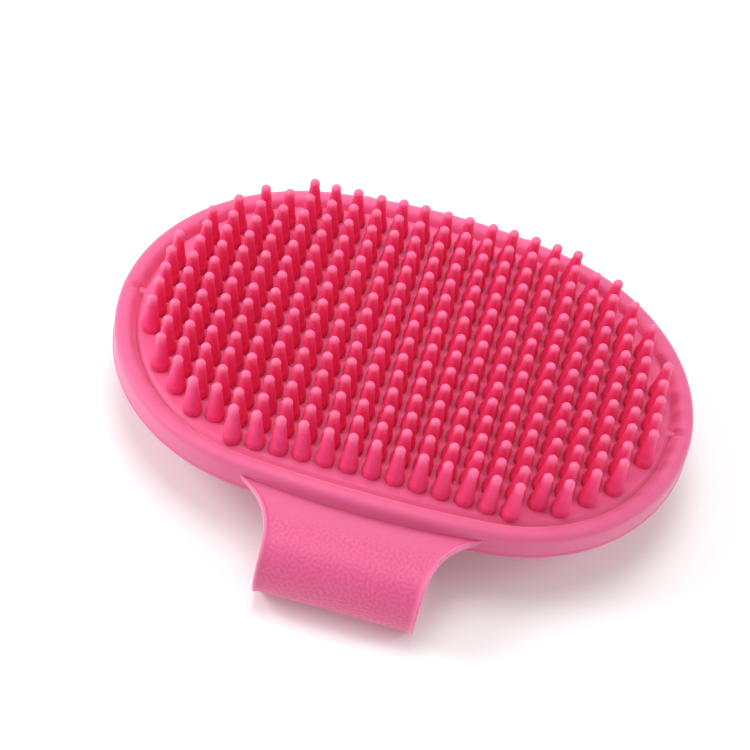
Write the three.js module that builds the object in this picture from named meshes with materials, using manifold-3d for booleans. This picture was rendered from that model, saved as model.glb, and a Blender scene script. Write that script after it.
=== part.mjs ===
// Rubber curry brush: an oval pad with a field of soft round-tipped pins in a shallow tray,
// a rolled rim, and a two-piece hand strap that closes under the pad with two pegs.
// Millimetres, +Z up. X is the long axis of the pad. The brush stands on its closed strap,
// pins upwards, with the origin under the middle of the pad on the surface it stands on.

import * as THREE from 'three';
import { mergeVertices } from 'three/addons/utils/BufferGeometryUtils.js';
import Module from 'manifold-3d';

const wasm = await Module();
wasm.setup();

// ---------------------------------------------------------------- driving dimensions

const GAP = 0.3; // clearance kept between neighbouring pieces

// An oval is drawn with four arcs: two round ends of radius end, joined by two flatter sides.
const PAD_OVAL = { halfLength: 64.4, halfWidth: 44.8, end: 43 }; // outer edge of the rim
const TRAY_OVAL = { halfLength: 59.7, halfWidth: 40.8, end: 39.1 }; // inner edge of the rim
const CROWN_DROP = 2.65; // how far the two ends of the pad droop below its middle
const FLOOR_HEIGHT = 20.2; // tray floor above the surface, at the middle of the pad

const RIM_RISE = 1.2; // top of the rim above the tray floor, all of it rounded
const RIM_DROP = 5.2; // lower edge of the rim below the tray floor
const RIM_SEGMENTS = 72;

const TRAY_SKIN = 1.0; // thickness of the strips that carry the pins
const BASE_THICKNESS = 2.2;
const PLATE_STATIONS = 7; // cross-sections from the middle to each end, closer near the ends

const PIN_PITCH = 5;
const PIN_HEIGHT = 10.2;
const PIN_BASE_RADIUS = 2.0;
const PIN_TIP_RADIUS = 1.15;
const PIN_SIDES = 6;
const PINS_IN_ROW = [13, 17, 19, 21, 21, 23, 23, 23, 23, 23, 21, 21, 19, 17, 13];

const STRAP_HALF_WIDTH = 17.2;
const STRAP_THICKNESS = 1.8;
const STRAP_ROOT_THICKNESS = 2.6;
const STRAP_ROOT_DEPTH = 2.4; // upper face of the strap root below the tray floor
const STRAP_FLARE = 8.8; // extra half-width where the strap meets the rim
const STRAP_FLARE_LENGTH = 3.6; // distance over which the flare fades
const STRAP_FLARE_LIMIT = 30; // half-width at which the flare stops growing
const STRAP_ROOT_OVERLAP = 4; // how far the raw root runs in under the rim before it is trimmed
const STRAP_TIP_ROUND = 5;
const BEND_STEPS = 12;

// Each half runs out from the rim, bends through a half turn and runs back under the pad.
// shoulder: depth of its upper face below the tray floor where the bend begins
// reach: outermost point of the bend, from the middle of the pad
// bend: how far the bend stands out from its own centre
// heel, sole: height of its outer face at the end of the bend, and under the middle of the pad
// rampEnd: distance from the middle at which it has reached the height of the sole
// tip: how far past the middle it ends
const OUTER_HALF = { shoulder: 3.6, reach: 61.8, bend: 8.3, heel: 0, sole: 0, rampEnd: 20, tip: 17 };
const INNER_HALF = {
  shoulder: 2.6,
  reach: 50.8,
  bend: 5.4,
  heel: 0.8, // its bend stays off the surface
  sole: STRAP_THICKNESS + GAP, // it lies on the outer half
  rampEnd: 20,
  tip: 5.2,
};

const PEG_RADIUS = 1.5;
const PEG_SPACING = 14;
const PEG_POCKET = 1.2; // depth of the pocket that seats a peg in the inner half
const PEG_SIDES = 12;
const SLOT_HALF_WIDTH = 1.85;
const SLOT_AHEAD = 3.0; // slot ends, measured from the peg's centre
const SLOT_BEHIND = 2.6;
const SLOT_PITCH = 9;
const SLOT_ROWS = [1, 0, -1, -2]; // row 0 takes the pegs, the others make the loop larger or smaller

// ---------------------------------------------------------------- materials

function rubber(color) {
  return new THREE.MeshStandardMaterial({ color, roughness: 0.5, metalness: 0 });
}

// ---------------------------------------------------------------- pad surface

// Height of the crowned tray floor at x.
function floorAt(x) {
  const droop = (CROWN_DROP * (1 - Math.cos((Math.PI * x) / PAD_OVAL.halfLength))) / 2;
  return FLOOR_HEIGHT - droop;
}

// Slope of the tray floor along X, as an angle.
function floorTilt(x) {
  const turn = Math.PI / PAD_OVAL.halfLength;
  return Math.atan((-CROWN_DROP * turn * Math.sin(turn * x)) / 2);
}

// The same oval, larger all round by a distance, or smaller when it is negative.
function grow(oval, distance) {
  return {
    halfLength: oval.halfLength + distance,
    halfWidth: oval.halfWidth + distance,
    end: oval.end + distance,
  };
}

// An oval part of the way from one to another.
function between(first, second, share) {
  return {
    halfLength: THREE.MathUtils.lerp(first.halfLength, second.halfLength, share),
    halfWidth: THREE.MathUtils.lerp(first.halfWidth, second.halfWidth, share),
    end: THREE.MathUtils.lerp(first.end, second.end, share),
  };
}

// Where an oval's arcs are centred: the end arcs on X, the side arcs below or above the middle.
function arcs({ halfLength, halfWidth, end }) {
  const endCentre = halfLength - end;
  const side = (endCentre ** 2 + halfWidth ** 2 - end ** 2) / (2 * (halfWidth - end));
  const sideCentre = side - halfWidth;
  return { endCentre, side, sideCentre, joint: Math.atan2(sideCentre, endCentre) };
}

// Point of an oval whose outward normal points along angle.
function ovalPoint(angle, oval) {
  const { endCentre, side, sideCentre, joint } = arcs(oval);
  const cos = Math.cos(angle);
  const sin = Math.sin(angle);
  if (Math.abs(Math.atan2(Math.abs(sin), Math.abs(cos))) < joint) {
    return [Math.sign(cos) * endCentre + oval.end * cos, oval.end * sin];
  }
  return [side * cos, side * sin - Math.sign(sin) * sideCentre];
}

// Half-width in Y of an oval at x.
function ovalHalfWidth(x, oval) {
  const { endCentre, side, sideCentre, joint } = arcs(oval);
  if (Math.abs(x) < side * Math.cos(joint)) {
    return Math.sqrt(side ** 2 - x ** 2) - sideCentre;
  }
  return Math.sqrt(Math.max(0, oval.end ** 2 - (Math.abs(x) - endCentre) ** 2));
}

// The x at which that half-width has shrunk to y.
function ovalReach(y, oval) {
  const { endCentre, side, sideCentre, joint } = arcs(oval);
  if (Math.abs(y) < oval.end * Math.sin(joint)) {
    return endCentre + Math.sqrt(oval.end ** 2 - y ** 2);
  }
  return Math.sqrt(Math.max(0, side ** 2 - (Math.abs(y) + sideCentre) ** 2));
}

// ---------------------------------------------------------------- solid helpers

// Joins rings of equally many points into one closed body. The rings close on themselves,
// and the first and last are capped, or joined to each other when the sweep is a loop.
function sweep(rings, loop = false) {
  const count = rings[0].length;
  const positions = rings.flat(2);
  const indices = [];
  const last = loop ? rings.length : rings.length - 1;
  for (let r = 0; r < last; r += 1) {
    const here = r * count;
    const next = ((r + 1) % rings.length) * count;
    for (let k = 0; k < count; k += 1) {
      const l = (k + 1) % count;
      indices.push(here + k, here + l, next + k);
      indices.push(here + l, next + l, next + k);
    }
  }
  if (!loop) {
    const end = (rings.length - 1) * count;
    for (let k = 1; k < count - 1; k += 1) {
      indices.push(0, k + 1, k);
      indices.push(end, end + k, end + k + 1);
    }
  }
  const geometry = new THREE.BufferGeometry();
  geometry.setAttribute('position', new THREE.Float32BufferAttribute(positions, 3));
  geometry.setIndex(indices);
  return geometry;
}

function toSolid(geometry) {
  const bare = geometry.clone();
  bare.deleteAttribute('normal');
  bare.deleteAttribute('uv');
  const merged = mergeVertices(bare, 1e-4);
  const vertProperties = new Float32Array(merged.attributes.position.array);
  const triVerts = new Uint32Array(merged.index.array);
  return new wasm.Manifold(new wasm.Mesh({ numProp: 3, vertProperties, triVerts }));
}

function toGeometry(solid) {
  const mesh = solid.getMesh();
  const geometry = new THREE.BufferGeometry();
  geometry.setAttribute('position', new THREE.Float32BufferAttribute(mesh.vertProperties, 3));
  geometry.setIndex(Array.from(mesh.triVerts));
  geometry.computeVertexNormals();
  return geometry;
}

function addPiece(name, geometry, color) {
  const mesh = new THREE.Mesh(geometry, rubber(color));
  mesh.name = name;
  brush.add(mesh);
}

// ---------------------------------------------------------------- rim

// A band that runs all round the pad: a rounded top, a plain outer wall and a flat lower edge.
function rimGeometry() {
  const section = [
    [1, -RIM_DROP],
    [1, 0],
  ];
  for (const degrees of [150, 125, 100, 75, 50, 25, 0]) {
    const angle = THREE.MathUtils.degToRad(degrees);
    section.push([(1 - Math.cos(angle)) / 2, RIM_RISE * Math.sin(angle)]);
  }
  section.push([0, -RIM_DROP]);
  const rings = [];
  for (let k = 0; k < RIM_SEGMENTS; k += 1) {
    const angle = (2 * Math.PI * (k + 0.5)) / RIM_SEGMENTS;
    rings.push(
      section.map(([share, height]) => {
        const [x, y] = ovalPoint(angle, between(PAD_OVAL, TRAY_OVAL, share));
        return [x, y, floorAt(x) + height];
      }),
    );
  }
  return sweep(rings, true);
}

// ---------------------------------------------------------------- base and pin rows

// Places along X for the cross-sections of a plate that reaches equally far both ways.
function stations(reach) {
  const places = [];
  for (let k = -PLATE_STATIONS; k <= PLATE_STATIONS; k += 1) {
    places.push(reach * Math.sin((Math.PI * k) / (2 * PLATE_STATIONS)));
  }
  return places;
}

// A plate that follows the crowned floor, between two edges given as functions of x.
function plateGeometry(reach, lowEdge, highEdge, bottom, top) {
  return sweep(
    stations(reach).map((x) => [
      [x, lowEdge(x), floorAt(x) + bottom],
      [x, highEdge(x), floorAt(x) + bottom],
      [x, highEdge(x), floorAt(x) + top],
      [x, lowEdge(x), floorAt(x) + top],
    ]),
  );
}

function baseGeometry() {
  const oval = grow(TRAY_OVAL, -GAP);
  const bluntEnd = 3;
  const reach = ovalReach(bluntEnd, oval);
  const top = -TRAY_SKIN - GAP;
  const edge = (x) => ovalHalfWidth(x, oval);
  return plateGeometry(reach, (x) => -edge(x), edge, top - BASE_THICKNESS, top);
}

// One pin, standing square to the crowned floor at x.
function pinSolid(x, y) {
  const rootDepth = TRAY_SKIN / 2;
  const profile = [
    new THREE.Vector2(0, -rootDepth),
    new THREE.Vector2(PIN_BASE_RADIUS, -rootDepth),
    new THREE.Vector2(PIN_TIP_RADIUS, PIN_HEIGHT - PIN_TIP_RADIUS),
    new THREE.Vector2(0, PIN_HEIGHT),
  ];
  const geometry = new THREE.LatheGeometry(profile, PIN_SIDES);
  geometry.rotateX(Math.PI / 2);
  geometry.rotateY(-floorTilt(x));
  geometry.translate(x, y, floorAt(x));
  return toSolid(geometry);
}

// A strip of the tray floor with its pins. The two outermost strips reach out to the rim.
function pinRowGeometry(row) {
  const oval = grow(TRAY_OVAL, -GAP);
  const middleRow = (PINS_IN_ROW.length - 1) / 2;
  const y = (row - middleRow) * PIN_PITCH;
  const side = Math.sign(y);
  const halfStrip = (PIN_PITCH - GAP) / 2;
  const edge = (x) => ovalHalfWidth(x, oval);
  const isLast = Math.abs(row - middleRow) === middleRow;
  const innerEdge = Math.abs(y) - halfStrip;
  const outerEdge = (x) => (isLast ? edge(x) : Math.min(edge(x), Math.abs(y) + halfStrip));

  let low = () => -halfStrip;
  let high = () => halfStrip;
  let reach = ovalReach(halfStrip, oval);
  if (side > 0) {
    low = () => innerEdge;
    high = outerEdge;
  } else if (side < 0) {
    low = (x) => -outerEdge(x);
    high = () => -innerEdge;
  }
  if (side !== 0) {
    reach = ovalReach(innerEdge + 1, oval);
  }

  let solid = toSolid(plateGeometry(reach, low, high, -TRAY_SKIN, 0));
  const pins = PINS_IN_ROW[row];
  for (let k = 0; k < pins; k += 1) {
    solid = solid.add(pinSolid((k - (pins - 1) / 2) * PIN_PITCH, y));
  }
  return toGeometry(solid);
}

// ---------------------------------------------------------------- strap

// Outer face of one strap half in the YZ plane, from the rim to the tip.
function strapPath({ shoulder, reach, bend, heel, sole, rampEnd, tip }) {
  const rootHeight = FLOOR_HEIGHT - STRAP_ROOT_DEPTH;
  const shoulderHeight = FLOOR_HEIGHT - shoulder;
  const halfHeight = (shoulderHeight - heel) / 2;
  const bendY = bend - reach;
  const wall = -PAD_OVAL.halfWidth;
  const run = wall - bendY;
  const slope = (rootHeight - shoulderHeight) / run;
  const path = [[wall + STRAP_ROOT_OVERLAP, rootHeight + slope * STRAP_ROOT_OVERLAP]];
  for (const share of [0, 0.16, 0.33, 0.55, 0.8]) {
    path.push([wall - run * share, rootHeight - slope * run * share]);
  }
  for (let k = 0; k <= BEND_STEPS; k += 1) {
    const angle = Math.PI / 2 + (Math.PI * k) / BEND_STEPS;
    path.push([bendY + bend * Math.cos(angle), heel + halfHeight * (1 + Math.sin(angle))]);
  }
  path.push([-rampEnd, sole]);
  for (const back of [STRAP_TIP_ROUND, STRAP_TIP_ROUND / 2, STRAP_TIP_ROUND / 8, 0]) {
    path.push([tip - back, sole]);
  }
  return path;
}

// Half-width of the strap at a distance along it from the rim wall, and back from its tip.
function strapHalfWidth(fromRoot, fromTip) {
  const flare = STRAP_FLARE * Math.exp(-fromRoot / STRAP_FLARE_LENGTH);
  const flared = Math.min(STRAP_FLARE_LIMIT, STRAP_HALF_WIDTH + flare);
  const intoRound = Math.max(0, STRAP_TIP_ROUND - fromTip);
  return flared - STRAP_TIP_ROUND + Math.sqrt(STRAP_TIP_ROUND ** 2 - intoRound ** 2);
}

function strapThickness(fromRoot) {
  const thinning = Math.min(1, Math.max(0, fromRoot / (2 * STRAP_FLARE_LENGTH)));
  return THREE.MathUtils.lerp(STRAP_ROOT_THICKNESS, STRAP_THICKNESS, thinning);
}

// The bare strip, before it is trimmed to the rim.
function strapStrip(path) {
  const along = [-STRAP_ROOT_OVERLAP];
  for (let k = 1; k < path.length; k += 1) {
    const step = Math.hypot(path[k][0] - path[k - 1][0], path[k][1] - path[k - 1][1]);
    along.push(along[k - 1] + step);
  }
  const total = along[along.length - 1];
  const rings = path.map(([y, z], k) => {
    const before = path[Math.max(0, k - 1)];
    const after = path[Math.min(path.length - 1, k + 1)];
    const length = Math.hypot(after[0] - before[0], after[1] - before[1]);
    const thickness = strapThickness(along[k]);
    const innerY = y + ((before[1] - after[1]) / length) * thickness;
    const innerZ = z + ((after[0] - before[0]) / length) * thickness;
    const w = strapHalfWidth(along[k], total - along[k]);
    return [
      [w, y, z],
      [-w, y, z],
      [-w, innerY, innerZ],
      [w, innerY, innerZ],
    ];
  });
  return toSolid(sweep(rings));
}

// The room the pad takes up, with the working gap round it.
function padClearance() {
  const shape = new THREE.Shape();
  for (let k = 0; k < RIM_SEGMENTS; k += 1) {
    const angle = (2 * Math.PI * (k + 0.5)) / RIM_SEGMENTS;
    const [x, y] = ovalPoint(angle, grow(PAD_OVAL, GAP));
    if (k === 0) {
      shape.moveTo(x, y);
    } else {
      shape.lineTo(x, y);
    }
  }
  shape.closePath();
  const depth = RIM_DROP + CROWN_DROP;
  const geometry = new THREE.ExtrudeGeometry(shape, { depth, bevelEnabled: false });
  geometry.translate(0, 0, FLOOR_HEIGHT - depth);
  return toSolid(geometry);
}

// A slot through the outer half, longer than the peg so that the peg can leave it on an arc.
function slotSolid(x, y, height) {
  const shape = new THREE.Shape();
  shape.absarc(0, SLOT_AHEAD - SLOT_HALF_WIDTH, SLOT_HALF_WIDTH, 0, Math.PI);
  shape.absarc(0, SLOT_HALF_WIDTH - SLOT_BEHIND, SLOT_HALF_WIDTH, Math.PI, 2 * Math.PI);
  shape.closePath();
  const geometry = new THREE.ExtrudeGeometry(shape, {
    depth: height,
    bevelEnabled: false,
    curveSegments: 6,
  });
  geometry.translate(x, y, -height / 2);
  return toSolid(geometry);
}

function pegPlaces() {
  return [-PEG_SPACING / 2, PEG_SPACING / 2];
}

function outerHalfGeometry() {
  let solid = strapStrip(strapPath(OUTER_HALF)).subtract(padClearance());
  for (const row of SLOT_ROWS) {
    for (const x of pegPlaces()) {
      solid = solid.subtract(slotSolid(x, row * SLOT_PITCH, 4 * STRAP_THICKNESS));
    }
  }
  return toGeometry(solid);
}

// The inner half is drawn on the same side as the outer one and then turned round.
function innerHalfGeometry() {
  let solid = strapStrip(strapPath(INNER_HALF)).subtract(padClearance());
  for (const x of pegPlaces()) {
    const pocket = new THREE.CylinderGeometry(
      PEG_RADIUS + GAP, PEG_RADIUS + GAP, 2 * PEG_POCKET, PEG_SIDES);
    pocket.rotateX(Math.PI / 2);
    pocket.translate(x, 0, INNER_HALF.sole);
    solid = solid.subtract(toSolid(pocket));
  }
  const geometry = toGeometry(solid);
  geometry.rotateZ(Math.PI);
  return geometry;
}

function pegGeometry(x) {
  const top = INNER_HALF.sole + PEG_POCKET - GAP;
  const bottom = GAP;
  const chamfer = 0.4;
  const profile = [
    new THREE.Vector2(0, bottom),
    new THREE.Vector2(PEG_RADIUS - chamfer, bottom),
    new THREE.Vector2(PEG_RADIUS, bottom + chamfer),
    new THREE.Vector2(PEG_RADIUS, top),
    new THREE.Vector2(0, top),
  ];
  const geometry = new THREE.LatheGeometry(profile, PEG_SIDES);
  geometry.rotateX(Math.PI / 2);
  geometry.translate(x, 0, 0);
  return toGeometry(toSolid(geometry));
}

// ---------------------------------------------------------------- assembly

const brush = new THREE.Group();

addPiece('pad_base', baseGeometry(), 0xdd4a7d);
addPiece('rim_bead', rimGeometry(), 0xf8749f);
for (let row = 0; row < PINS_IN_ROW.length; row += 1) {
  const number = String(row + 1).padStart(2, '0');
  addPiece(`pin_row_${number}`, pinRowGeometry(row), 0xe63a6c);
}
addPiece('strap_outer_half', outerHalfGeometry(), 0xed6895);
addPiece('strap_inner_half', innerHalfGeometry(), 0xed6895);
addPiece('strap_peg_left', pegGeometry(-PEG_SPACING / 2), 0xf07aa4);
addPiece('strap_peg_right', pegGeometry(PEG_SPACING / 2), 0xf07aa4);

export default brush;
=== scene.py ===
"""Rubber curry brush: the visible model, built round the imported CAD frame.

Sizes are in millimetres, in the CAD frame: +X along the pad, +Z the way the pins point, and the
strap's sole at z = 0. Meshes are made in millimetres and scaled to metres as they are stored.
"""

import math

import bpy
import bmesh
import numpy as np
from mathutils import Matrix, Vector


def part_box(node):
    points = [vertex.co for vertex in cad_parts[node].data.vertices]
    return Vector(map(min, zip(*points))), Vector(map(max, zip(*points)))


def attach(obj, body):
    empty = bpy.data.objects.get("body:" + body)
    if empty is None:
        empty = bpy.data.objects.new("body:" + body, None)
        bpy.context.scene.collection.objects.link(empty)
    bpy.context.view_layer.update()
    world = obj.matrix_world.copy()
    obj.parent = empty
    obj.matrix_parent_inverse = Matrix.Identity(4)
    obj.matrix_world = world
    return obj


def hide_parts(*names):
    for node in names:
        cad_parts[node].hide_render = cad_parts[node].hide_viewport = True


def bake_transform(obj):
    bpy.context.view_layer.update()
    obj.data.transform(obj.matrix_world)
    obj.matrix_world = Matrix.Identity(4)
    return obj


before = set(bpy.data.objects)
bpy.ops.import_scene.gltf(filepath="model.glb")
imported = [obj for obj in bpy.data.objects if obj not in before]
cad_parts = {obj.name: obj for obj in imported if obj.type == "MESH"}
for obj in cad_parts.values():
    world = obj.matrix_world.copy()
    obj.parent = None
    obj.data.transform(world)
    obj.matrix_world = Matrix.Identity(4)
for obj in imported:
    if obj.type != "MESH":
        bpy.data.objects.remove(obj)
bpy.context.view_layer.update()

# ---------------------------------------------------------------- sizes from the frame

MM = 0.001

rim_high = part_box("rim_bead")[1] / MM
outer_low, outer_high = (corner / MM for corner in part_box("strap_outer_half"))
inner_low, inner_high = (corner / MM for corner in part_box("strap_inner_half"))
middle_row_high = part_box("pin_row_08")[1] / MM
peg_low, peg_high = (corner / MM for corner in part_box("strap_peg_right"))

RIM_RISE = 1.2
HALF_LENGTH = rim_high.x
HALF_WIDTH = rim_high.y
FLOOR_HEIGHT = rim_high.z - RIM_RISE
PIN_HEIGHT = middle_row_high.z - FLOOR_HEIGHT

# ---------------------------------------------------------------- driving dimensions

CROWN_DROP = 2.65  # how much lower the tray floor is at the pad's two ends
OUTER_END_RADIUS = 43.0
BEAD_WIDTH_AT_END = 4.6
BEAD_WIDTH_AT_SIDE = 4.3
CREASE_END_RADIUS = 38.8
RIM_DROP = 5.2
RIM_DROP_AT_STRAP = 5.8  # the rim's wall is taller on both sides of a strap's root
TALL_UNTIL = 22.0  # up to this x the wall is at its tallest
LOW_FROM = 48.0  # and from this one on it has its usual height
RIM_STEPS = 480
NOTCH_HALF_LENGTH = 1.6
NOTCH_DEPTH = 0.6
NOTCH_STEP = 0.15

TRAY_THICKNESS = 3.5
TRAY_TUCK = 0.7  # how far the tray runs in under the rim's bead
TRAY_RINGS = 28
TRAY_CORE = 0.02  # size of the innermost ring, as a share of the outermost
GROOVE_WIDTH = 1.5
GROOVE_DEPTH = 0.8
GROOVE_RINGS = 9

PIN_PITCH = 5.0
PINS_IN_ROW = [13, 17, 19, 21, 21, 23, 23, 23, 23, 23, 21, 21, 19, 17, 13]
PIN_SIDES = 24
PIN_ROOT = 0.8  # how far a pin runs down into the tray
PIN_COLLAR = 2.45  # height of the bulged foot
PIN_FOOT_RADIUS = 2.12
PIN_SHAFT_RADIUS = 1.84
PIN_NECK_RADIUS = 1.04
PIN_TIP_RADIUS = 1.13
PIN_LEAN = 0.014  # how far pins stray from upright, in radians
PIN_SHORTFALL = 0.12  # the most that a pin is shorter than the longest ones
PIN_SEED = 11

STRAP_HALF_WIDTH = 17.2
STRAP_THICKNESS = 1.8
STRAP_ROOT_THICKNESS = 2.2
STRAP_ROOT_DEPTH = 2.4
STRAP_FLARE = 8.8
STRAP_FLARE_LENGTH = 3.6
STRAP_FLARE_LIMIT = 30.0
STRAP_ROOT_TUCK = 1.0  # how far the strap's root runs in under the rim's outer wall
STRAP_STEP = 0.25
STRAP_CORNER = 0.3
STRAP_SETTLE = 9.0  # over this length the strap follows the curve of the pad's side
STRAP_SHARP = 40  # degrees from which an edge is drawn sharp
BEND_START = 0.5  # a point this far inside the wall, worked out in make_straps but not used; no strap half bends
BEND_OUT = 0.27  # an unused offset from that point, this far outwards
BEND_DOWN = 1.14  # and this far down
RIB_WIDTH = 0.85
RIB_HEIGHT = 0.3
TIP_ROUND = 5.0

# Each half by its outer face. Shoulder: how far below the tray floor the bend begins. Reach: how
# far out the bend comes. Bend: its half-width. Heel: its lowest height, which changes to the height
# of the sole at ramp_end from the middle. Tip: how far past the middle the half ends.
OUTER_HALF = {
    "shoulder": 3.6, "reach": -outer_low.y, "bend": 8.3,
    "heel": 0.0, "sole": 0.0, "ramp_end": 20.0, "tip": outer_high.y,
}
INNER_HALF = {
    "shoulder": 2.6, "reach": inner_high.y, "bend": 5.4,
    "heel": 0.8, "sole": 2.1, "ramp_end": 20.0, "tip": -inner_low.y,
}

GRAIN_LENGTH = 1.05  # from one ridge of the leather grain to the next
GRAIN_SPREAD = 0.4  # how much that length varies
GRAIN_DEPTH = 0.11
GRAIN_STEP = 0.2  # size of a cell in the sheet of grain
GRAIN_SHEET = 640  # cells along each side of the sheet
GRAIN_START = 1.5  # the grain fades in from here along the strap
GRAIN_FULL = 7.0  # to here
EDGE_HIGHLIGHT_FULL = 2.0  # the painted highlight along the strap's edges fades in from the wall to here

PEG_PLACE = (peg_low.x + peg_high.x) / 2
SLOT_HALF_WIDTH = 1.85
SLOT_AHEAD = 3.0
SLOT_BEHIND = 2.6
SLOT_PITCH = 9.0
SLOT_ROWS = [1, 0, -1, -2]
SLOT_CHAMFER = 0.35
SLOT_SIDE_STEPS = 13
CUTTER_REACH = 1.0  # how far the cutter goes past both faces, and how much wider it is there

# The studio is in metres and degrees.
CAMERA_LENS = 121.9
CAMERA_TARGET = (-0.00535, -0.00861, 0.0202)
CAMERA_DISTANCE = 0.5462
CAMERA_AZIMUTH = 3.935
CAMERA_ELEVATION = 48.41
CAMERA_ROLL = 12.33
LIGHTS = [  # name, place, size, power
    ("left_box", (-0.83, -0.08, 0.55), 0.5, 4.2),
    ("right_box", (0.85, 0.15, 0.6), 0.5, 1.7),
    ("top_box", (-0.1, 0.1, 0.8), 0.45, 1.9),
    ("back_box", (-0.1, 0.8, 0.75), 0.9, 1.7),
]
WORLD_AT_HORIZON = 0.65
WORLD_OVERHEAD = 0.3
FLOOR_REACH = 3.0
FLOOR_WHITE = 0.93
FLOOR_GLOW = 0.08

# ---------------------------------------------------------------- mesh helpers


def store(name, points, faces, material, sharp=None):
    """A new object from points in millimetres, with its faces turned outwards and smooth."""
    mesh = bpy.data.meshes.new(name)
    mesh.from_pydata((np.asarray(points) * MM).tolist(), [], faces)
    piece = bpy.data.objects.new(name, mesh)
    bpy.context.scene.collection.objects.link(piece)
    editable = bmesh.new()
    editable.from_mesh(mesh)
    bmesh.ops.recalc_face_normals(editable, faces=editable.faces)
    editable.to_mesh(mesh)
    editable.free()
    mesh.shade_smooth()
    if sharp is not None:
        mesh.set_sharp_from_angle(angle=math.radians(sharp))
    mesh.materials.append(material)
    return piece


def grid_faces(rows, columns, wrap_rows=False, wrap_columns=False):
    """Quads over a grid of points kept row by row."""
    r = np.arange(rows if wrap_rows else rows - 1)[:, None]
    c = np.arange(columns if wrap_columns else columns - 1)[None, :]
    below = (r + 1) % rows
    beside = (c + 1) % columns
    quads = [r * columns + c, r * columns + beside, below * columns + beside, below * columns + c]
    return np.stack(quads, -1).reshape(-1, 4).tolist()


def tube_faces(rings, around):
    """Faces of a closed tube of rings, with a cap at each end."""
    first = list(range(around))
    last = [(rings - 1) * around + k for k in range(around)]
    return grid_faces(rings, around, wrap_columns=True) + [first[::-1], last]


def smoothstep(low, high, value):
    t = np.clip((value - low) / (high - low), 0, 1)
    return t * t * (3 - 2 * t)


def rounded(corners, steps=7):
    """A closed outline from corners (x, y, reach), each one turned into a curve from reach before
    it to reach after it."""
    outline = []
    for k, (x, y, reach) in enumerate(corners):
        here = np.array([x, y])
        before = np.array(corners[k - 1][:2]) - here
        after = np.array(corners[(k + 1) % len(corners)][:2]) - here
        start = here + before / np.linalg.norm(before) * reach
        end = here + after / np.linalg.norm(after) * reach
        for t in np.linspace(0, 1, steps):
            outline.append((1 - t) ** 2 * start + 2 * t * (1 - t) * here + t * t * end)
    return np.array(outline)


# ---------------------------------------------------------------- the pad's shape


class Oval:
    """An oval of four arcs: two round ends of radius end, joined by two flatter sides."""

    def __init__(self, half_length, half_width, end):
        self.sizes = np.array([half_length, half_width, end], float)
        self.end = end
        self.end_centre = half_length - end
        self.side = (self.end_centre**2 + half_width**2 - end**2) / (2 * (half_width - end))
        self.side_centre = self.side - half_width
        self.joint = math.atan2(self.side_centre, self.end_centre)

    def points(self, angles):
        """Points whose outward normals point along the angles."""
        cos, sin = np.cos(angles), np.sin(angles)
        on_end = np.arctan2(np.abs(sin), np.abs(cos)) < self.joint
        x = np.where(on_end, np.sign(cos) * self.end_centre + self.end * cos, self.side * cos)
        y = np.where(on_end, self.end * sin, self.side * sin - np.sign(sin) * self.side_centre)
        return x, y

    def half_width(self, x):
        on_side = np.abs(x) < self.side * math.cos(self.joint)
        side = np.sqrt(np.maximum(self.side**2 - x**2, 0)) - self.side_centre
        end = np.sqrt(np.maximum(self.end**2 - (np.abs(x) - self.end_centre) ** 2, 0))
        return np.where(on_side, side, end)

    def towards(self, other, share):
        """The oval part of the way from this one to another, or past it."""
        return Oval(*(self.sizes + (other.sizes - self.sizes) * share))


rim_oval = Oval(HALF_LENGTH, HALF_WIDTH, OUTER_END_RADIUS)
crease_oval = Oval(
    HALF_LENGTH - BEAD_WIDTH_AT_END, HALF_WIDTH - BEAD_WIDTH_AT_SIDE, CREASE_END_RADIUS
)


def floor_at(x):
    """Height of the crowned tray floor at x."""
    return FLOOR_HEIGHT - CROWN_DROP * (1 - np.cos(np.pi * x / HALF_LENGTH)) / 2


def floor_slope(x):
    return -CROWN_DROP * np.pi / HALF_LENGTH * np.sin(np.pi * x / HALF_LENGTH) / 2


# ---------------------------------------------------------------- rim and tray


def pad_angles():
    """Angles round the pad, closer together at the small notches on its two ends."""
    fine = math.degrees(2 * NOTCH_HALF_LENGTH / OUTER_END_RADIUS)
    step = math.degrees(NOTCH_STEP / OUTER_END_RADIUS)
    near = np.arange(-fine, fine + step / 2, step)
    spread = np.linspace(-180, 180, RIM_STEPS, endpoint=False)
    spread = spread[(np.abs(spread) > fine) & (np.abs(spread) < 180 - fine)]
    every = np.concatenate([near, near + 180, spread])
    return np.radians(np.sort(every))


def rim_section():
    """The rim's section: distance in from the outer wall as a share of the bead, and height above
    the tray floor."""
    bead = BEAD_WIDTH_AT_SIDE
    under_tray = -TRAY_THICKNESS - 0.3
    corners = [  # distance in, height, and how far the corner's rounding reaches
        (0.0, -RIM_DROP, 0.3),  # a thin lip round the foot of the outer wall
        (0.0, -RIM_DROP + 0.7, 0.15),
        (0.14, -RIM_DROP + 0.9, 0.1),
        (0.02, RIM_RISE, 1.8),  # the bead's round top
        (0.8 * bead, RIM_RISE, 1.5),
        (1.06 * bead, -1.2, 0.4),  # its inner side, which dips into the tray
        (1.02 * bead, under_tray, 0.4),
        (0.74 * bead, under_tray, 0.5),  # the skirt's inner side, on the palm side of the pad
        (0.62 * bead, -RIM_DROP, 0.5),
    ]
    outline = rounded(corners, steps=8)
    return outline[:, 0] / bead, outline[:, 1]


def notch_depth(x, y, share):
    """Depth of the shallow notch in the bead's inner part, at each end of the pad."""
    along = 1 - smoothstep(0.25 * NOTCH_HALF_LENGTH, NOTCH_HALF_LENGTH, np.abs(y))
    across = smoothstep(0.3, 0.75, share)
    at_end = np.abs(x) > HALF_LENGTH / 2
    return NOTCH_DEPTH * along * across * at_end


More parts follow.
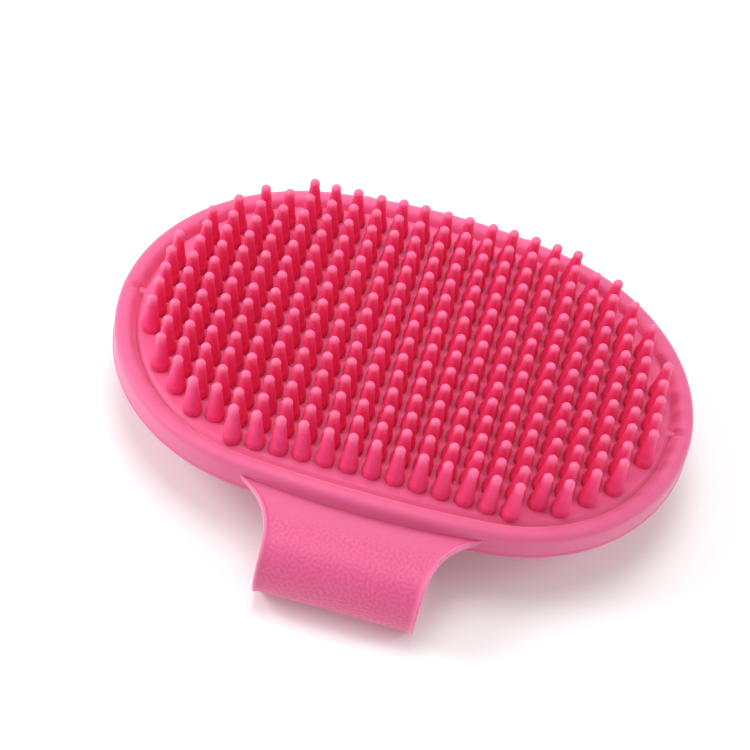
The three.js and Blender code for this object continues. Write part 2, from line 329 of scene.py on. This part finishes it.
def make_rim(material):
    angles = pad_angles()
    shares, heights = rim_section()
    columns = []
    for share, height in zip(shares, heights):
        x, y = rim_oval.towards(crease_oval, share).points(angles)
        lowered = notch_depth(x, y, share) if height > 0 else 0
        taller = 1 - smoothstep(TALL_UNTIL, LOW_FROM, np.abs(x))
        lowered += (RIM_DROP_AT_STRAP - RIM_DROP) * taller * max(0, -height / RIM_DROP)
        columns.append(np.stack([x, y, floor_at(x) + height - lowered], -1))
    points = np.stack(columns, 1).reshape(-1, 3)
    faces = grid_faces(len(angles), len(shares), wrap_rows=True, wrap_columns=True)
    piece = store("rim", points, faces, material)
    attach(piece, "pad")
    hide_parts("rim_bead")


def bridge(x, y):
    """1 where a short bridge fills the groove, at each end of the pad, and 0 elsewhere."""
    along = 1 - smoothstep(0.3 * NOTCH_HALF_LENGTH, 0.8 * NOTCH_HALF_LENGTH, np.abs(y))
    return along * (np.abs(x) > HALF_LENGTH / 2)


def make_tray(material):
    """The crowned sheet that the pins stand on, as a stack of ovals from its middle outwards."""
    angles = pad_angles()
    sizes = crease_oval.sizes
    top = np.linspace(TRAY_CORE, 1 - TRAY_CORE, TRAY_RINGS)
    layers = [(share, GROOVE_WIDTH, 0.0) for share in top]
    for t in np.linspace(0, 1, GROOVE_RINGS):
        layers.append((1, GROOVE_WIDTH * (1 - t), -GROOVE_DEPTH * smoothstep(0, 1, t)))
    layers.append((1, -TRAY_TUCK, -GROOVE_DEPTH))
    layers.append((1, -TRAY_TUCK, -TRAY_THICKNESS))
    underside = np.linspace(1, TRAY_CORE, TRAY_RINGS)
    layers += [(share, 0, -TRAY_THICKNESS) for share in underside]
    rings = []
    for share, inset, height in layers:
        x, y = Oval(*(sizes - inset)).points(angles)
        if -TRAY_THICKNESS < height < 0:
            height = height * (1 - bridge(x, y))
        rings.append(np.stack([x * share, y * share, floor_at(x * share) + height], -1))
    points = np.concatenate(rings)
    piece = store("tray", points, tube_faces(len(layers), len(angles)), material, sharp=50)
    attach(piece, "pad")
    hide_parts("pad_base")


# ---------------------------------------------------------------- pins


def pin_profile():
    """Radius and height of one pin from its root to its tip: a bulged foot, a tapered shaft and a
    ball tip."""
    foot = [
        (PIN_FOOT_RADIUS - 0.1, -PIN_ROOT),
        (PIN_FOOT_RADIUS - 0.2, -0.05),
        (PIN_FOOT_RADIUS - 0.08, 0.2),
        (PIN_FOOT_RADIUS - 0.02, 0.55),
        (PIN_FOOT_RADIUS, 1.0),
        (PIN_FOOT_RADIUS - 0.01, 1.5),
        (PIN_FOOT_RADIUS - 0.04, 1.9),
        (PIN_FOOT_RADIUS - 0.14, 2.15),
        (PIN_SHAFT_RADIUS + 0.02, PIN_COLLAR),
    ]
    ball_centre = PIN_HEIGHT - PIN_TIP_RADIUS
    neck_height = ball_centre - 0.5
    shaft = []
    for t in np.linspace(0.08, 1, 7):
        radius = PIN_SHAFT_RADIUS + (PIN_NECK_RADIUS - PIN_SHAFT_RADIUS) * t
        shaft.append((radius, PIN_COLLAR + (neck_height - PIN_COLLAR) * t))
    ball = []
    for angle in np.radians([-12, 8, 26, 44, 60, 74, 85]):
        radius = PIN_TIP_RADIUS * math.cos(angle)
        ball.append((radius, ball_centre + PIN_TIP_RADIUS * math.sin(angle)))
    return np.array(foot + shaft + ball)


def make_pin_rows(material):
    rng = np.random.default_rng(PIN_SEED)
    profile = pin_profile()
    turn = np.linspace(0, 2 * np.pi, PIN_SIDES, endpoint=False)
    radius, height = profile[:, 0][:, None], profile[:, 1][:, None]
    one = np.stack([radius * np.cos(turn), radius * np.sin(turn), height + 0 * turn], -1)
    one = one.reshape(-1, 3)
    one_faces = np.array(grid_faces(len(profile), PIN_SIDES, wrap_columns=True))
    rise = np.clip(one[:, 2] / PIN_HEIGHT, 0, 1)
    middle = (len(PINS_IN_ROW) - 1) / 2

    for row, count in enumerate(PINS_IN_ROW):
        points, faces = [], []
        for k in range(count):
            x = (k - (count - 1) / 2) * PIN_PITCH
            y = (row - middle) * PIN_PITCH
            lean_x, lean_y = rng.normal(0, PIN_LEAN, 2)
            axis = Vector((-floor_slope(x) + lean_x, lean_y, 1)).normalized()
            tilt = np.array(Vector((0, 0, 1)).rotation_difference(axis).to_matrix())
            shorter = 1 - PIN_SHORTFALL * rng.random() / PIN_HEIGHT
            base = k * len(one)
            points.append((one * [1, 1, shorter]) @ tilt.T + [x, y, floor_at(x)])
            faces += (one_faces + base).tolist()
            faces.append([base + (len(profile) - 1) * PIN_SIDES + s for s in range(PIN_SIDES)])
            faces.append([base + s for s in range(PIN_SIDES)][::-1])
        name = f"pins_{row + 1:02d}"
        piece = store(name, np.concatenate(points), faces, material)
        # rise runs from the tray floor to the tip; it places the highlight painted on the pins'
        # tips
        mark(piece, "rise", np.tile(rise, count))
        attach(piece, "pad")
        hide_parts(f"pin_row_{row + 1:02d}")


# ---------------------------------------------------------------- strap


def strap_path(half):
    """Outer face of one strap half in the YZ plane as evenly spaced points, and their distances
    along it from the rim's wall."""
    root = FLOOR_HEIGHT - STRAP_ROOT_DEPTH
    shoulder = FLOOR_HEIGHT - half["shoulder"]
    half_height = (shoulder - half["heel"]) / 2
    bend_y = half["bend"] - half["reach"]
    run = -HALF_WIDTH - bend_y

    # From the wall the strap slopes down, to be level where the bend begins. The part tucked in
    # under the wall carries the slope on, unless it is steep.
    share = np.linspace(0, 1, 40)
    top_y = -HALF_WIDTH - run * share
    top_z = root - (root - shoulder) * (1.5 * share - 0.5 * share**3)
    slope = 1.5 * (root - shoulder) / run
    steepest = 0.2
    tuck_y = np.array([-HALF_WIDTH + STRAP_ROOT_TUCK])
    tuck_z = np.array([root + min(steepest, slope) * STRAP_ROOT_TUCK])

    angle = np.radians(np.linspace(90, 270, 120))[1:]
    bend_ys = bend_y + half["bend"] * np.cos(angle)
    bend_zs = half["heel"] + half_height * (1 + np.sin(angle))
    sole_y = np.linspace(bend_y, half["tip"], 300)[1:]
    rise = smoothstep(bend_y, -half["ramp_end"], sole_y)
    sole_z = half["heel"] + (half["sole"] - half["heel"]) * rise

    y = np.concatenate([tuck_y, top_y, bend_ys, sole_y])
    z = np.concatenate([tuck_z, top_z, bend_zs, sole_z])
    along = np.concatenate([[0], np.cumsum(np.hypot(np.diff(y), np.diff(z)))])
    even = np.linspace(0, along[-1], int(along[-1] / STRAP_STEP))
    return np.interp(even, along, y), np.interp(even, along, z), even - along[1]


def strap_width(along):
    """Half-width at each distance along the strap: flared at the rim, rounded at the tip."""
    flare = STRAP_FLARE * np.exp(-along / STRAP_FLARE_LENGTH)
    width = np.minimum(STRAP_FLARE_LIMIT, STRAP_HALF_WIDTH + flare)
    into_round = np.maximum(0, TIP_ROUND - (along[-1] - along))
    return width - TIP_ROUND + np.sqrt(TIP_ROUND**2 - into_round**2)


def leather(seed):
    """A square sheet of leather grain, from noise that keeps only one wavelength. It runs from 0 in
    the furrows to 1 on the worm-shaped ridges."""
    rng = np.random.default_rng(seed)
    waves = np.fft.fftfreq(GRAIN_SHEET, GRAIN_STEP)
    frequency = np.hypot(waves[:, None], waves[None, :])
    band = np.exp(-(((frequency * GRAIN_LENGTH - 1) / GRAIN_SPREAD) ** 2))
    noise = rng.standard_normal((GRAIN_SHEET, GRAIN_SHEET))
    sheet = np.fft.ifft2(np.fft.fft2(noise) * band).real
    return smoothstep(-1.2, 1.0, sheet / sheet.std())


def grain_at(sheet, x, s):
    """The sheet's values at places across the strap, x, and one place s along it."""
    u, v = x / GRAIN_STEP, s / GRAIN_STEP
    column, row = np.floor(u).astype(int), np.floor(v).astype(int)
    across, along = u - column, v - row
    near = sheet[row % GRAIN_SHEET, column % GRAIN_SHEET] * (1 - across)
    near += sheet[row % GRAIN_SHEET, (column + 1) % GRAIN_SHEET] * across
    far = sheet[(row + 1) % GRAIN_SHEET, column % GRAIN_SHEET] * (1 - across)
    far += sheet[(row + 1) % GRAIN_SHEET, (column + 1) % GRAIN_SHEET] * across
    return near * (1 - along) + far * along


def strap_section(width, thickness):
    """Across-positions, depths below the outer face, grain shares and edge shares round one
    section."""
    corner = STRAP_CORNER
    bevel = 0.3 * corner
    edge = np.array([0.08, 0.22, 0.4, 0.6, RIB_WIDTH, RIB_WIDTH + 0.2, RIB_WIDTH + 0.45])
    middle = np.linspace(-1, 1, int(2 * STRAP_HALF_WIDTH / STRAP_STEP))[1:-1]
    inner_x = np.concatenate([-(width - edge), middle * (width - edge[-1]), (width - edge)[::-1]])
    from_edge = width - np.abs(inner_x)
    fall = RIB_HEIGHT * smoothstep(RIB_WIDTH * 0.55, edge[-1], from_edge)
    crown = corner * (1 - np.sqrt(1 - (1 - np.minimum(from_edge / corner, 1)) ** 2))
    grain = smoothstep(edge[-2], edge[-1] + 0.4, from_edge)
    # 1 on the edge rib and the side faces, where the highlight along the edges is painted
    rib = 1 - smoothstep(RIB_WIDTH * 0.5, RIB_WIDTH + 0.2, from_edge)
    outer = np.stack([inner_x, fall + crown, grain, rib], -1)

    side_depth = np.linspace(corner, thickness - corner, 6)
    side_x = width + 0 * side_depth
    right = np.stack([side_x, side_depth, 0 * side_depth, 1 + 0 * side_depth], -1)
    back_end = 1 - bevel / width
    back_x = np.concatenate([[back_end], np.linspace(0.98, -0.98, 24), [-back_end]])
    back_depth = np.full(len(back_x), thickness)
    back_depth[[0, -1]] -= bevel
    back = np.stack([back_x * width, back_depth, 0 * back_x, 0 * back_x], -1)
    left = right[::-1] * [-1, 1, 1, 1]
    return np.concatenate([outer, right, back, left])


def strap_mesh(half, seed):
    """Points, faces, furrow shares and edge shares of one strap half, on the pad's near side."""
    y, z, along = strap_path(half)
    widths = strap_width(along)
    step_y, step_z = np.gradient(y), np.gradient(z)
    length = np.hypot(step_y, step_z)
    in_y, in_z = -step_z / length, step_y / length
    thinning = np.clip(along / (2 * STRAP_FLARE_LENGTH), 0, 1)
    thickness = STRAP_ROOT_THICKNESS + (STRAP_THICKNESS - STRAP_ROOT_THICKNESS) * thinning
    grain_share = smoothstep(GRAIN_START, GRAIN_FULL, along)
    # how much of the painted edge highlight shows at each place along the strap
    edge_highlight_share = smoothstep(0.0, EDGE_HIGHLIGHT_FULL, along)
    sheet = leather(seed)
    settle = 1 - smoothstep(0, STRAP_SETTLE, along)

    rings, furrows, edges = [], [], []
    for k in range(len(y)):
        section = strap_section(widths[k], thickness[k])
        x, depth, grain, edge = section[:, 0], section[:, 1].copy(), section[:, 2], section[:, 3]
        # the furrow share deepens the grain's real furrows and also sets the shade painted into
        # them
        furrow = grain * grain_share[k] * (1 - grain_at(sheet, x, along[k]))
        furrows.append(furrow)
        edges.append(edge * edge_highlight_share[k])
        depth += GRAIN_DEPTH * furrow
        towards_pad = (HALF_WIDTH - rim_oval.half_width(x)) * settle[k]
        ring_y = y[k] + depth * in_y[k] + towards_pad
        ring_z = z[k] + depth * in_z[k]
        rings.append(np.stack([x, ring_y, ring_z], -1))
    faces = tube_faces(len(rings), len(rings[0]))
    return np.concatenate(rings), faces, np.concatenate(furrows), np.concatenate(edges)


def mark(piece, name, values):
    """Keeps one number for each point of the piece, for its material to read."""
    layer = piece.data.attributes.new(name, "FLOAT", "POINT")
    layer.data.foreach_set("value", np.asarray(values, dtype=np.float32))


def slot_cutter(material):
    """Stadium-shaped cutters for the slots, wider at both faces of the strap for a chamfer."""
    turn = np.linspace(0, np.pi, SLOT_SIDE_STEPS)
    around = 2 * SLOT_SIDE_STEPS
    ahead = SLOT_AHEAD - SLOT_HALF_WIDTH
    behind = SLOT_HALF_WIDTH - SLOT_BEHIND
    levels = [  # height above the sole, and how much wider than the slot
        (-CUTTER_REACH, CUTTER_REACH),
        (SLOT_CHAMFER, 0),
        (STRAP_THICKNESS - SLOT_CHAMFER, 0),
        (STRAP_THICKNESS + CUTTER_REACH, CUTTER_REACH),
    ]
    points, faces = [], []
    for row in SLOT_ROWS:
        for place in (-PEG_PLACE, PEG_PLACE):
            base = len(points) * around
            for height, widening in levels:
                radius = SLOT_HALF_WIDTH + widening
                front = np.stack([radius * np.cos(turn), ahead + radius * np.sin(turn)], -1)
                back = np.stack([-radius * np.cos(turn), behind - radius * np.sin(turn)], -1)
                ring = np.concatenate([front, back]) + [place, row * SLOT_PITCH]
                points.append(np.concatenate([ring, np.full((around, 1), height)], 1))
            for face in tube_faces(len(levels), around):
                faces.append([base + v for v in face])
    return store("slot_cutter", np.concatenate(points), faces, material)


def cut(piece, cutter):
    """Cuts the cutter's shape out of the piece and removes the cutter."""
    modifier = piece.modifiers.new("cut", "BOOLEAN")
    modifier.operation = "DIFFERENCE"
    modifier.solver = "EXACT"
    modifier.object = cutter
    graph = bpy.context.evaluated_depsgraph_get()
    result = bpy.data.meshes.new_from_object(piece.evaluated_get(graph))
    piece.modifiers.clear()
    piece.data = result
    bpy.data.objects.remove(cutter)


def strap_piece(name, half, turned, seed, material):
    """One strap half, kept on the near side of the pad or turned round to the far side."""
    points, faces, furrows, edges = strap_mesh(half, seed)
    piece = store(name, points * turned, faces, material, sharp=STRAP_SHARP)
    # the furrow shares take the painted furrow shade to the material
    mark(piece, "furrow", furrows)
    # the edge shares take the painted edge highlight to the material
    mark(piece, "edge", edges)
    return piece


def make_straps(material):
    outer = strap_piece("strap_outer", OUTER_HALF, [1, 1, 1], 3, material)
    cut(outer, slot_cutter(material))
    outer.data.set_sharp_from_angle(angle=math.radians(STRAP_SHARP))
    wall = Vector((0, -HALF_WIDTH + BEND_START, FLOOR_HEIGHT - STRAP_ROOT_DEPTH)) * MM
    drop = Vector((0, -BEND_OUT, -BEND_DOWN)) * MM
    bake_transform(outer)
    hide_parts("strap_outer_half")

    inner = strap_piece("strap_inner", INNER_HALF, [-1, -1, 1], 5, material)
    wall.y = -wall.y
    drop.y = -drop.y
    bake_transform(inner)
    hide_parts("strap_inner_half")


def make_pegs(material):
    """Two mushroom pegs that hang from the inner half into the slots of the outer one."""
    foot, sole = peg_low.z, INNER_HALF["sole"]
    corners = [  # radius and height, from the head's lower face up into the strap
        (0.05, foot), (1.05, foot), (1.42, foot + 0.2), (1.5, foot + 0.55), (1.38, foot + 0.9),
        (1.15, foot + 1.1), (1.12, sole - 0.3), (1.3, sole - 0.08), (1.6, sole + 0.05),
        (1.6, sole + 0.6),
    ]
    turn = np.linspace(0, 2 * np.pi, 32, endpoint=False)
    for name, side in (("left", -1), ("right", 1)):
        rings = []
        for radius, height in corners:
            x = side * PEG_PLACE + radius * np.cos(turn)
            rings.append(np.stack([x, radius * np.sin(turn), height + 0 * turn], -1))
        points = np.concatenate(rings)
        piece = store(f"peg_{name}", points, tube_faces(len(corners), len(turn)), material)
        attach(piece, "inner_strap")
        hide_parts(f"strap_peg_{name}")


# ---------------------------------------------------------------- materials


def linear(red, green, blue):
    """A colour given as 0 to 255 on a screen, as the linear values that shaders use."""
    values = []
    for value in (red, green, blue):
        value /= 255
        values.append(value / 12.92 if value <= 0.04045 else ((value + 0.055) / 1.055) ** 2.4)
    return (*values, 1.0)


DRIFT_SCALE = 0.14  # patches of colour drift to a millimetre
TEXTURE_SCALE = 2.2  # grains of the matt texture to a millimetre
SCATTER_DEPTH = 0.8  # how far light spreads inside the rubber
SCATTER_COLOURS = (1.0, 0.25, 0.4)  # shares of that depth for red, green and blue light
GLOSS_SPREAD = 0.06  # how much the roughness varies both ways


def rubber(name, main, second, roughness=0.5, relief=0.02, softness=0.25, sheen=0.4, accents=()):
    """Soft, slightly translucent moulded rubber. Its colour drifts a little from main to second
    over a few millimetres, and its surface has a fine matt texture with a powdery sheen. Each
    accent is a mesh attribute, the colour it brings in, and the values where that starts and is
    full."""
    material = bpy.data.materials.new(name)
    material.use_nodes = True
    nodes, links = material.node_tree.nodes, material.node_tree.links
    shader = nodes["Principled BSDF"]
    shader.inputs["Subsurface Weight"].default_value = softness
    shader.inputs["Subsurface Radius"].default_value = SCATTER_COLOURS
    shader.inputs["Subsurface Scale"].default_value = SCATTER_DEPTH * MM
    shader.inputs["Specular IOR Level"].default_value = 0.5
    shader.inputs["Sheen Weight"].default_value = sheen
    shader.inputs["Sheen Roughness"].default_value = 0.5
    place = nodes.new("ShaderNodeTexCoord")

    cloud = nodes.new("ShaderNodeTexNoise")
    cloud.inputs["Scale"].default_value = DRIFT_SCALE / MM
    cloud.inputs["Detail"].default_value = 3
    links.new(place.outputs["Object"], cloud.inputs["Vector"])
    drift = nodes.new("ShaderNodeMix")
    drift.data_type = "RGBA"
    drift.inputs["A"].default_value = main
    drift.inputs["B"].default_value = second
    links.new(cloud.outputs["Fac"], drift.inputs["Factor"])
    colour = drift.outputs["Result"]

    # The accents used in this script paint highlights and shade into the base colour.
    for attribute, accent_colour, start, full in accents:
        reader = nodes.new("ShaderNodeAttribute")
        reader.attribute_name = attribute
        ramp = nodes.new("ShaderNodeMapRange")
        ramp.interpolation_type = "SMOOTHSTEP"
        ramp.inputs["From Min"].default_value = start
        ramp.inputs["From Max"].default_value = full
        links.new(reader.outputs["Fac"], ramp.inputs["Value"])
        accented = nodes.new("ShaderNodeMix")
        accented.data_type = "RGBA"
        accented.inputs["B"].default_value = accent_colour
        links.new(ramp.outputs["Result"], accented.inputs["Factor"])
        links.new(colour, accented.inputs["A"])
        colour = accented.outputs["Result"]
    links.new(colour, shader.inputs["Base Color"])

    fine = nodes.new("ShaderNodeTexNoise")
    fine.inputs["Scale"].default_value = TEXTURE_SCALE / MM
    fine.inputs["Detail"].default_value = 4
    links.new(place.outputs["Object"], fine.inputs["Vector"])
    gloss = nodes.new("ShaderNodeMapRange")
    gloss.inputs["To Min"].default_value = roughness - GLOSS_SPREAD
    gloss.inputs["To Max"].default_value = roughness + GLOSS_SPREAD
    links.new(fine.outputs["Fac"], gloss.inputs["Value"])
    links.new(gloss.outputs["Result"], shader.inputs["Roughness"])
    bump = nodes.new("ShaderNodeBump")
    bump.inputs["Strength"].default_value = 1.0
    bump.inputs["Distance"].default_value = relief * MM
    links.new(fine.outputs["Fac"], bump.inputs["Height"])
    links.new(bump.outputs["Normal"], shader.inputs["Normal"])
    return material


# The pad is one rubber, but its parts get different pinks. The paler pinks of the rim, tray and
# strap are that rubber's colour with a painted sheen added.
PINK = linear(226, 103, 149)
PINK_SECOND = linear(222, 96, 143)
TRAY_PINK = linear(229, 105, 150)
TRAY_SECOND = linear(225, 98, 144)
# Darker pink painted into the leather grain's furrows: painted shade.
FURROW_SHADE_PINK = linear(219, 89, 138)
# Paler pink painted along the strap's edge ribs and side faces: a painted highlight.
EDGE_HIGHLIGHT_PINK = linear(232, 124, 166)
# The pins' deeper pink is painted shade for the dim light among the pins.
PIN_SHADED_PINK = linear(247, 84, 142)
PIN_SHADED_SECOND = linear(245, 78, 136)
# Paler pink painted on the pins' ball tips: a painted highlight.
TIP_HIGHLIGHT_PINK = linear(250, 116, 158)

rim_rubber = rubber("rim_rubber", PINK, PINK_SECOND, softness=0.12)
tray_rubber = rubber("tray_rubber", TRAY_PINK, TRAY_SECOND, softness=0.15, sheen=0.1)
# The pins get the deeper, shaded copy of the rubber's pink.
pin_rubber = rubber(
    "pin_rubber", PIN_SHADED_PINK, PIN_SHADED_SECOND, roughness=0.45, sheen=0.08,
    # the rise accent paints a highlight on the pins' tips
    accents=[("rise", TIP_HIGHLIGHT_PINK, 0.72, 0.9)],
)
# The strap's furrow accent is painted shade in the grain's furrows.
strap_rubber = rubber(
    "strap_rubber", PINK, PINK_SECOND, relief=0.03, softness=0.1,
    # the edge accent paints a highlight along the strap's edges
    accents=[("furrow", FURROW_SHADE_PINK, 0.0, 1.0), ("edge", EDGE_HIGHLIGHT_PINK, 0.0, 1.0)],
)
peg_rubber = rubber("peg_rubber", PINK, PINK_SECOND)

make_rim(rim_rubber)
make_tray(tray_rubber)
make_pin_rows(pin_rubber)
make_straps(strap_rubber)
make_pegs(peg_rubber)

# ---------------------------------------------------------------- studio


def make_floor():
    """A white floor that shines very weakly, as a light table does."""
    mesh = bpy.data.meshes.new("floor")
    far = FLOOR_REACH
    corners = [(-far, -far, 0), (far, -far, 0), (far, far, 0), (-far, far, 0)]
    mesh.from_pydata(corners, [], [(0, 1, 2, 3)])
    floor = bpy.data.objects.new("floor", mesh)
    bpy.context.scene.collection.objects.link(floor)
    material = bpy.data.materials.new("studio_white")
    material.use_nodes = True
    shader = material.node_tree.nodes["Principled BSDF"]
    shader.inputs["Base Color"].default_value = (FLOOR_WHITE, FLOOR_WHITE, FLOOR_WHITE, 1)
    shader.inputs["Roughness"].default_value = 0.9
    shader.inputs["Specular IOR Level"].default_value = 0.0
    shader.inputs["Emission Color"].default_value = (1, 1, 1, 1)
    shader.inputs["Emission Strength"].default_value = FLOOR_GLOW
    mesh.materials.append(material)


def make_light(name, place, size, power):
    """A round soft light that points at the origin."""
    light = bpy.data.lights.new(name, "AREA")
    light.shape = "DISK"
    light.size = size
    light.energy = power
    lamp = bpy.data.objects.new(name, light)
    bpy.context.scene.collection.objects.link(lamp)
    lamp.location = place
    lamp.rotation_mode = "QUATERNION"
    lamp.rotation_quaternion = (-Vector(place)).to_track_quat("-Z", "Y")


def make_world(horizon, overhead):
    """White light from all round, weaker overhead than at the horizon."""
    world = bpy.data.worlds.new("studio")
    bpy.context.scene.world = world
    world.use_nodes = True
    nodes, links = world.node_tree.nodes, world.node_tree.links
    background = nodes["Background"]
    background.inputs["Color"].default_value = (1, 1, 1, 1)
    place = nodes.new("ShaderNodeTexCoord")
    parts = nodes.new("ShaderNodeSeparateXYZ")
    level = nodes.new("ShaderNodeMapRange")
    level.inputs["To Min"].default_value = horizon
    level.inputs["To Max"].default_value = overhead
    links.new(place.outputs["Generated"], parts.inputs["Vector"])
    links.new(parts.outputs["Z"], level.inputs["Value"])
    links.new(level.outputs["Result"], background.inputs["Strength"])


def make_camera():
    """The photograph's view: from the front, well above, and rolled so that the pad's right end
    hangs lower."""
    camera = bpy.data.objects.new("camera", bpy.data.cameras.new("camera"))
    bpy.context.scene.collection.objects.link(camera)
    camera.data.sensor_width = 36
    camera.data.lens = CAMERA_LENS
    turn = math.radians(CAMERA_AZIMUTH)
    climb = math.radians(CAMERA_ELEVATION)
    level_part = math.cos(climb)
    back = Vector((math.sin(turn) * level_part, -math.cos(turn) * level_part, math.sin(climb)))
    camera.location = Vector(CAMERA_TARGET) + back * CAMERA_DISTANCE
    camera.rotation_mode = "QUATERNION"
    level = (-back).to_track_quat("-Z", "Y")
    roll = Matrix.Rotation(math.radians(CAMERA_ROLL), 3, "Z").to_quaternion()
    camera.rotation_quaternion = level @ roll
    camera.data.clip_start = 0.01
    camera.data.clip_end = 20
    bpy.context.scene.camera = camera


make_floor()
make_world(WORLD_AT_HORIZON, WORLD_OVERHEAD)
for name, place, size, power in LIGHTS:
    make_light(name, place, size, power)
make_camera()
bpy.context.scene.view_settings.view_transform = "Standard"
bpy.context.scene.view_settings.look = "Medium High Contrast"
